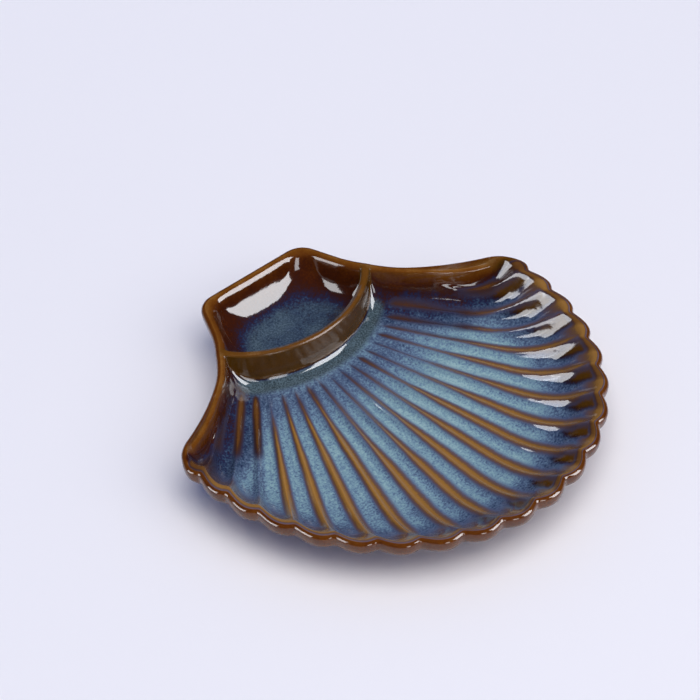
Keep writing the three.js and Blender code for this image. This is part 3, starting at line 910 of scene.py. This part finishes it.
def make_piece(name, points, normals, faces, values, material):
    """A mesh object from some faces of the skin, with its normals and glaze values carried over."""
    used, packed = np.unique(faces, return_inverse=True)
    packed = packed.reshape(faces.shape)
    mesh = bpy.data.meshes.new(name)
    place = (points[used] + np.array([0, UMBO_Y, 0])) * MM
    rings = [list(dict.fromkeys(face)) for face in packed.tolist()]
    mesh.from_pydata(place.tolist(), [], [ring for ring in rings if len(ring) > 2])
    mesh.polygons.foreach_set("use_smooth", np.ones(len(mesh.polygons), bool))
    for key, value in values.items():
        kind = "FLOAT" if value.ndim == 1 else "FLOAT_VECTOR"
        field = "value" if value.ndim == 1 else "vector"
        layer = mesh.attributes.new(key, kind, "POINT")
        layer.data.foreach_set(field, value[used].astype(np.float32).ravel())
    mesh.normals_split_custom_set_from_vertices(normals[used].tolist())
    mesh.materials.append(material)
    piece = bpy.data.objects.new(name, mesh)
    bpy.context.scene.collection.objects.link(piece)
    return piece


# Materials
class Nodes:
    """Short calls for building a node tree."""

    def __init__(self, name):
        self.material = bpy.data.materials.new(name)
        self.material.use_nodes = True
        self.tree = self.material.node_tree
        self.shader = self.tree.nodes["Principled BSDF"]

    def add(self, kind, **settings):
        node = self.tree.nodes.new(kind)
        for key, value in settings.items():
            setattr(node, key, value)
        return node

    def plug(self, socket, value):
        if isinstance(value, bpy.types.NodeSocket):
            self.tree.links.new(value, socket)
        else:
            socket.default_value = value

    def math(self, operation, a, b=0.0, c=0.0):
        node = self.add("ShaderNodeMath", operation=operation)
        for socket, value in zip(node.inputs, (a, b, c)):
            self.plug(socket, value)
        return node.outputs[0]

    def place(self):
        return self.add("ShaderNodeTexCoord").outputs["Object"]

    def noise(self, vector, scale, detail, roughness):
        node = self.add("ShaderNodeTexNoise")
        self.plug(node.inputs["Vector"], vector)
        node.inputs["Scale"].default_value = scale
        node.inputs["Detail"].default_value = detail
        node.inputs["Roughness"].default_value = roughness
        return node.outputs["Fac"]

    def attribute(self, name, output="Fac"):
        return self.add("ShaderNodeAttribute", attribute_name=name).outputs[output]

    def ramp(self, value, stops):
        node = self.add("ShaderNodeValToRGB")
        self.plug(node.inputs[0], value)
        elements = node.color_ramp.elements
        while len(elements) < len(stops):
            elements.new(0.5)
        for element, (place, colour) in zip(elements, stops):
            element.position = place
            element.color = (*colour, 1)
        return node.outputs[0]

    def blend(self, share, a, b, mode="MIX"):
        node = self.add("ShaderNodeMix", data_type="RGBA", blend_type=mode)
        self.plug(node.inputs[0], share)
        for socket, value in zip(node.inputs[6:8], (a, b)):
            self.plug(socket, value if isinstance(value, bpy.types.NodeSocket) else (*value, 1))
        return node.outputs[2]

    def smooth_step(self, value, low, high):
        node = self.add("ShaderNodeMapRange", interpolation_type="SMOOTHSTEP")
        for key, entry in (("Value", value), ("From Min", low), ("From Max", high)):
            self.plug(node.inputs[key], entry)
        return node.outputs[0]

    def part(self, vector, axis):
        node = self.add("ShaderNodeSeparateXYZ")
        self.plug(node.inputs[0], vector)
        return node.outputs[axis]

    def centred(self, value):
        """A noise value about zero."""
        return self.math("SUBTRACT", value, 0.5)

    def scaled(self, vector, scale):
        node = self.add("ShaderNodeVectorMath", operation="MULTIPLY")
        self.plug(node.inputs[0], vector)
        node.inputs[1].default_value = scale
        return node.outputs[0]

    def added(self, value, share, amount):
        """A value with a share of an amount added to it."""
        return self.math("MULTIPLY_ADD", amount, share, value)

    def bump(self, height, strength, distance):
        node = self.add("ShaderNodeBump")
        node.inputs["Strength"].default_value = strength
        node.inputs["Distance"].default_value = distance
        self.plug(node.inputs["Height"], height)
        self.plug(self.shader.inputs["Normal"], node.outputs[0])


# Colours of the glaze from run thin to lying thick, and its olive brown on the divider
GLAZE_STOPS = [
    (0.00, (0.380, 0.205, 0.070)),
    (0.08, (0.230, 0.092, 0.016)),
    (0.13, (0.165, 0.052, 0.005)),
    (0.18, (0.125, 0.034, 0.003)),
    (0.24, (0.086, 0.019, 0.002)),
    (0.30, (0.062, 0.012, 0.002)),
    (0.36, (0.044, 0.009, 0.003)),
    (0.42, (0.040, 0.011, 0.009)),
    (0.48, (0.028, 0.014, 0.026)),
    (0.54, (0.018, 0.022, 0.062)),
    (0.61, (0.038, 0.064, 0.114)),
    (0.70, (0.086, 0.122, 0.198)),
    (0.78, (0.142, 0.222, 0.302)),
    (0.88, (0.208, 0.332, 0.368)),
    (1.00, (0.310, 0.450, 0.445)),
]
OLIVE_STOPS = [
    (0.00, (0.330, 0.180, 0.060)),
    (0.14, (0.145, 0.052, 0.006)),
    (0.22, (0.112, 0.042, 0.003)),
    (0.30, (0.098, 0.038, 0.002)),
    (0.45, (0.034, 0.013, 0.002)),
]
# Ribs from a faint violet streak to bare amber
RIB_STOPS = [
    (0.22, (0.100, 0.120, 0.215)),
    (0.38, (0.112, 0.084, 0.104)),
    (0.50, (0.148, 0.076, 0.052)),
    (0.57, (0.176, 0.086, 0.036)),
    (0.65, (0.290, 0.134, 0.028)),
    (1.00, (0.385, 0.190, 0.046)),
]
RUST_TINT = (0.42, 0.34, 0.36)
POOL_STOPS = [(0.36, (0.034, 0.050, 0.058)), (0.66, (0.100, 0.145, 0.172))]
# The glaze thins over these shares of a flute, left and right of a rib's middle. The left share is narrower
# as painted shading, a sharp edge on the rib's shaded left side, and the right share broadens with the
# painted shift
RIB_LEFT = 0.31
RIB_RIGHT = 0.38
SHADE_SHIFT_BROADENS = 1.6
# How strongly clouds, speckle, streaks along the flutes and drips down the walls move the level
CLOUD = 0.16
SPECKLE = 0.72
STREAK = 0.12
DRIP = 0.36
# Streaks are drawn out along the flutes, and drips down the walls
STREAK_SCALE = (2.6, 0.03, 0.0)
DRIP_SCALE = (0.14, 0.06, 0.0)
# How much wider rust spreads than amber, and how strongly speckle and clouds break up ribs and pools
RUST_WIDENS = 0.3
RIB_SPECKLE = 0.22
RIB_CLOUD = 0.20
DOT_CLOUD = 0.3
POOL_CLOUD = 0.6


def glaze(name, roughness, ior):
    made = Nodes(name)
    place = made.place()
    flow = made.attribute("flow", "Vector")
    drips = made.attribute("drips", "Vector")
    thickness = made.attribute("level")
    rust = made.attribute("rust")
    strength = made.attribute("rib")
    # The painted shading shift of a rib's amber, carried in flow
    lean = made.part(flow, 2)
    cloud = made.centred(made.noise(place, scale=75.0, detail=3.0, roughness=0.55))
    speckle = made.centred(made.noise(place, scale=850.0, detail=2.0, roughness=0.65))
    along = made.scaled(flow, STREAK_SCALE)
    streak = made.centred(made.noise(along, scale=1.0, detail=2.0, roughness=0.5))
    down = made.scaled(drips, DRIP_SCALE)
    drip = made.centred(made.noise(down, scale=1.0, detail=3.0, roughness=0.55))

    level = made.added(thickness, CLOUD, cloud)
    level = made.added(level, SPECKLE, made.math("MULTIPLY", speckle, thickness))
    level = made.added(level, STREAK, made.math("MULTIPLY", streak, thickness))
    level = made.added(level, DRIP, made.math("MULTIPLY", drip, made.part(drips, 2)))
    colour = made.ramp(level, GLAZE_STOPS)
    colour = made.blend(made.attribute("olive"), colour, made.ramp(level, OLIVE_STOPS))

    # Distance from a rib's middle, moved right by the painted shading shift, as a share of the width over
    # which the glaze thins
    turn = made.math("SUBTRACT", made.part(flow, 0), lean)
    fold = made.math("SUBTRACT", turn, made.math("ROUND", turn))
    broad = made.math("MULTIPLY_ADD", lean, SHADE_SHIFT_BROADENS, RIB_RIGHT)
    fold = made.math("MAXIMUM", made.math("DIVIDE", fold, -RIB_LEFT), made.math("DIVIDE", fold, broad))
    # Rust spreads wider than amber, and so does a rib's faint start
    fold = made.math("MULTIPLY", fold, made.math("SUBTRACT", 1.0, made.math("MULTIPLY", rust, RUST_WIDENS)))
    narrow = made.math("MULTIPLY_ADD", made.smooth_step(strength, 0.45, 0.80), 0.5, 0.5)
    bare = made.math("SUBTRACT", strength, made.math("MULTIPLY", fold, narrow))
    bare = made.math("MAXIMUM", bare, made.attribute("bare"))
    bare = made.added(bare, RIB_SPECKLE, speckle)
    bare = made.added(bare, RIB_CLOUD, cloud)
    rib = made.ramp(bare, RIB_STOPS)
    rib = made.blend(rust, rib, made.blend(1.0, rib, RUST_TINT, "MULTIPLY"))
    colour = made.blend(made.smooth_step(bare, 0.05, 0.42), colour, rib)

    dots = made.added(made.noise(place, scale=1100.0, detail=2.0, roughness=0.6), DOT_CLOUD, cloud)
    pool = made.added(made.attribute("pool"), POOL_CLOUD, cloud)
    colour = made.blend(made.smooth_step(pool, 0.15, 0.85), colour, made.ramp(dots, POOL_STOPS))

    made.plug(made.shader.inputs["Base Color"], colour)
    made.shader.inputs["Roughness"].default_value = roughness
    made.shader.inputs["IOR"].default_value = ior
    made.bump(made.noise(place, scale=260.0, detail=2.0, roughness=0.5), strength=0.06, distance=0.001)
    return made.material


CLAY_STOPS = [(0.30, (0.36, 0.26, 0.17)), (0.55, (0.52, 0.41, 0.30)), (0.75, (0.62, 0.52, 0.41))]


def bare_clay():
    made = Nodes("bare_clay")
    grain = made.noise(made.place(), scale=900.0, detail=3.0, roughness=0.7)
    made.plug(made.shader.inputs["Base Color"], made.ramp(grain, CLAY_STOPS))
    made.shader.inputs["Roughness"].default_value = 0.8
    made.bump(grain, strength=0.3, distance=0.0004)
    return made.material


# The platter
def closing_faces(sheet):
    """Faces under a sheet of the skin and across its two ends, which make it a closed body."""
    left, right = sheet[:, 0], sheet[:, -1]
    rise = np.arange(len(sheet) // 2)
    fall = len(sheet) - 1 - rise
    return np.concatenate([
        np.stack([sheet[0, :-1], sheet[0, 1:], sheet[-1, 1:], sheet[-1, :-1]], -1),
        np.stack([left[rise + 1], left[rise], left[fall], left[fall - 1]], -1),
        np.stack([right[rise], right[rise + 1], right[fall - 1], right[fall]], -1),
    ])


def make_platter():
    skin, ids, band = build_shell()
    points = np.concatenate(skin.points)
    faces = np.concatenate(skin.faces)
    normals = vertex_normals(points, faces)
    values = glaze_values(points, ids.size)
    # The divider's own skin: the rows above its seam, between the two flank walls
    seam = (DIVIDER_FACE + DIVIDER_FOOT) / 2
    rows = np.abs(band) <= seam
    first = LIP_LINES + WALL_LINES // 2
    sheet = ids[rows][:, first:-first]
    on_wall = np.zeros(len(points), bool)
    on_wall[sheet.ravel()] = True
    is_divider = on_wall[faces].all(1)
    # Both skins are closed under it, with points and normals of their own
    seat_ids, joint = np.unique(closing_faces(sheet), return_inverse=True)
    joint = joint.reshape(-1, 4)
    facing = vertex_normals(points[seat_ids], joint)
    joint = joint + len(points)
    points = np.concatenate([points, points[seat_ids]])
    values = {key: np.concatenate([value, value[seat_ids]]) for key, value in values.items()}
    shell = make_piece(
        "dish_skin",
        points,
        np.concatenate([normals, -facing]),
        np.concatenate([faces[~is_divider], joint[:, ::-1]]),
        values,
        glaze("shell_glaze", roughness=0.08, ior=1.52),
    )
    wall = make_piece(
        "divider_skin",
        points,
        np.concatenate([normals, facing]),
        np.concatenate([faces[is_divider], joint]),
        values,
        glaze("divider_glaze", roughness=0.20, ior=1.36),
    )
    return shell, wall


FOOT_STEPS = 160
FOOT_CORNER = 6


def make_foot(material):
    half = FOOT_LAND / 2
    top = FOOT_HEIGHT - SLIP_GAP
    quarter = np.linspace(0, math.pi / 2, FOOT_CORNER + 1)
    across = half - FOOT_EDGE + FOOT_EDGE * np.cos(quarter)
    down = FOOT_EDGE * (1 - np.sin(quarter))
    section_x = np.concatenate([[half, -half], -across, across[::-1]])
    section_z = np.concatenate([[top, top], down, down[::-1]])
    turn = np.linspace(0, 2 * math.pi, FOOT_STEPS, endpoint=False)[:, None]
    wide = FOOT_WIDTH / 2 - half
    long = FOOT_LENGTH / 2 - half
    nx, ny = np.cos(turn) / wide, np.sin(turn) / long
    size = np.hypot(nx, ny)
    x = wide * np.cos(turn) + section_x * nx / size
    y = long * np.sin(turn) + section_x * ny / size - FOOT_CENTRE
    ring = Surface()
    ids = ring.add(x, y, section_z)
    for step in range(FOOT_STEPS):
        ring.band(ids[(step + 1) % FOOT_STEPS], ids[step])
    points = np.concatenate(ring.points)
    faces = np.concatenate(ring.faces)
    return make_piece("foot_clay", points, vertex_normals(points, faces), faces, {}, material)


shell, wall = make_platter()
foot = make_foot(bare_clay())
for piece, node, slot in (
    (shell, "dish_body", "shell_glaze"),
    (wall, "divider_wall", "divider_glaze"),
    (foot, "foot_ring", "bare_clay"),
):
    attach(piece, "root")
    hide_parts(node)

# Camera, fitted to the photograph's frame
IMAGE = 700
FOCAL_PIXELS = 3000.0
CAMERA_DISTANCE = 1.5
CAMERA_AZIMUTH = math.radians(-41.9)
CAMERA_ELEVATION = math.radians(45.2)
SENSOR = 36.0
AIM_REACH = 132.5
AIM_PIXEL = (419.04, 406.76)
AIM = Vector((0, (UMBO_Y - AIM_REACH) * MM, RIM_Z * MM))

RIGHT = Vector((math.cos(CAMERA_AZIMUTH), math.sin(CAMERA_AZIMUTH), 0))
AHEAD = Vector((-math.sin(CAMERA_AZIMUTH), math.cos(CAMERA_AZIMUTH), 0))
FORWARD = AHEAD * math.cos(CAMERA_ELEVATION) - Vector((0, 0, math.sin(CAMERA_ELEVATION)))


def turned(forward):
    """Rotation whose -Z looks along a direction, with +Z of the world upwards."""
    return forward.to_track_quat("-Z", "Y").to_matrix().to_4x4()


lens = bpy.data.cameras.new("camera")
lens.sensor_width = SENSOR
lens.lens = FOCAL_PIXELS / IMAGE * SENSOR
lens.shift_x = (IMAGE / 2 - AIM_PIXEL[0]) / IMAGE
lens.shift_y = (AIM_PIXEL[1] - IMAGE / 2) / IMAGE
camera = bpy.data.objects.new("camera", lens)
camera.matrix_world = Matrix.Translation(AIM - FORWARD * CAMERA_DISTANCE) @ turned(FORWARD)
bpy.context.scene.collection.objects.link(camera)
bpy.context.scene.camera = camera


# Studio: softboxes that only show in the glaze, and lamps that only light. Each has an azimuth from
# straight ahead of the camera to the right, an elevation, a distance, a width, a height and a radiance.
SOFTBOXES = (
    ("left_softbox", -125, 20, 1.6, 0.54, 1.04, 9.0),
    ("low_softbox", -104.5, 16, 1.6, 0.68, 0.80, 9.0),
    ("right_softbox", 105, 26, 1.6, 0.9, 1.3, 13.5),
    ("fill_softbox", 152, 17, 1.8, 0.45, 0.7, 7.5),
)
LAMPS = (
    ("top_light", 165, 78, 7.2, 5.6, 5.6, 3.4),
    ("side_light", 120, 42, 7.2, 6.0, 6.0, 1.75),
)
SOFTBOX_COLOUR = (0.96, 0.97, 1.0)
LAMP_COLOUR = (0.975, 0.955, 0.88)
SKY_COLOUR = (0.38, 0.52, 1.0, 1)
SKY_LIGHT = 0.46
SKY_REFLECTION = 0.03
FLOOR_SPAN = 6.0
FLOOR_STOPS = [(0.35, (0.90, 0.855, 0.840)), (0.70, (0.92, 0.875, 0.860))]


def softbox(colour, name, azimuth, elevation, distance, width, height, radiance):
    """A rectangular light that is aimed at the platter."""
    azimuth, elevation = math.radians(azimuth), math.radians(elevation)
    level = AHEAD * math.cos(azimuth) + RIGHT * math.sin(azimuth)
    towards = level * math.cos(elevation) + Vector((0, 0, math.sin(elevation)))
    lamp = bpy.data.lights.new(name, "AREA")
    lamp.shape = "RECTANGLE"
    lamp.size = width
    lamp.size_y = height
    lamp.energy = radiance * math.pi * width * height
    lamp.color = colour
    box = bpy.data.objects.new(name, lamp)
    box.matrix_world = Matrix.Translation(towards * distance) @ turned(-towards)
    bpy.context.scene.collection.objects.link(box)
    return box


for settings in SOFTBOXES:
    softbox(SOFTBOX_COLOUR, *settings).visible_diffuse = False
for settings in LAMPS:
    softbox(LAMP_COLOUR, *settings).visible_glossy = False

world = bpy.data.worlds.new("studio")
world.use_nodes = True
nodes = world.node_tree.nodes
nodes["Background"].inputs["Color"].default_value = SKY_COLOUR
ray = nodes.new("ShaderNodeLightPath")
dim = nodes.new("ShaderNodeMapRange")
dim.inputs["To Min"].default_value = SKY_LIGHT
dim.inputs["To Max"].default_value = SKY_REFLECTION
world.node_tree.links.new(ray.outputs["Is Glossy Ray"], dim.inputs["Value"])
world.node_tree.links.new(dim.outputs[0], nodes["Background"].inputs["Strength"])
bpy.context.scene.world = world


def table_top():
    made = Nodes("table_top")
    haze = made.noise(made.place(), scale=1.6, detail=1.0, roughness=0.4)
    made.plug(made.shader.inputs["Base Color"], made.ramp(haze, FLOOR_STOPS))
    made.shader.inputs["Roughness"].default_value = 0.9
    made.shader.inputs["Specular IOR Level"].default_value = 0.0
    half = FLOOR_SPAN / 2
    corners = [(-half, -half, 0), (half, -half, 0), (half, half, 0), (-half, half, 0)]
    mesh = bpy.data.meshes.new("table_top")
    mesh.from_pydata(corners, [], [(0, 1, 2, 3)])
    mesh.materials.append(made.material)
    top = bpy.data.objects.new("table_top", mesh)
    bpy.context.scene.collection.objects.link(top)
    return top


table_top()
bpy.context.scene.view_settings.view_transform = "Standard"
